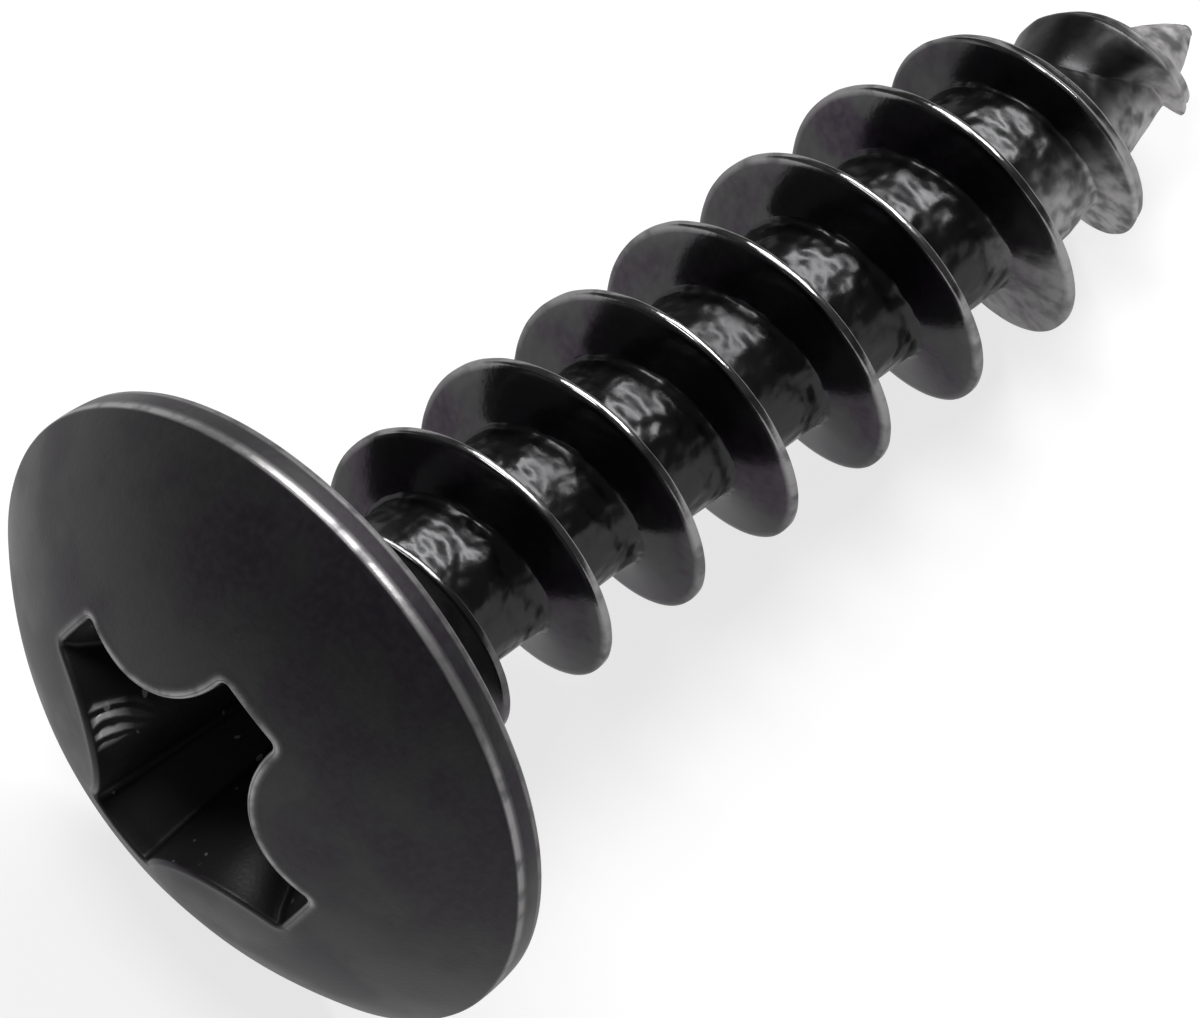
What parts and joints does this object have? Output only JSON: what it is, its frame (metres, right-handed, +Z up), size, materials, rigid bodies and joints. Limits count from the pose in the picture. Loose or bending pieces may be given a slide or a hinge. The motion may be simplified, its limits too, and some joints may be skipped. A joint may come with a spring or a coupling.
{
  "type": "self-tapping wood screw",
  "caption": "Black self-tapping wood screw with a low domed head, a cross recess, a coarse deep thread up to the head and a sharp gimlet point.",
  "frame": {"origin": "middle of the lying screw's box, on the surface it rests on", "axes": "+X from the head towards the tip, level, with the axis dipping 11 degrees towards the tip; +Z up"},
  "size_m": [0.0214, 0.0106, 0.0104],
  "materials": {
    "black_steel": "dark satin oxide finish on rolled and forged steel, worn bright on the crests of the thread and the edge of the head"
  },
  "bodies": {
    "root": {"screw": "black_steel"}
  },
  "joints": []
}
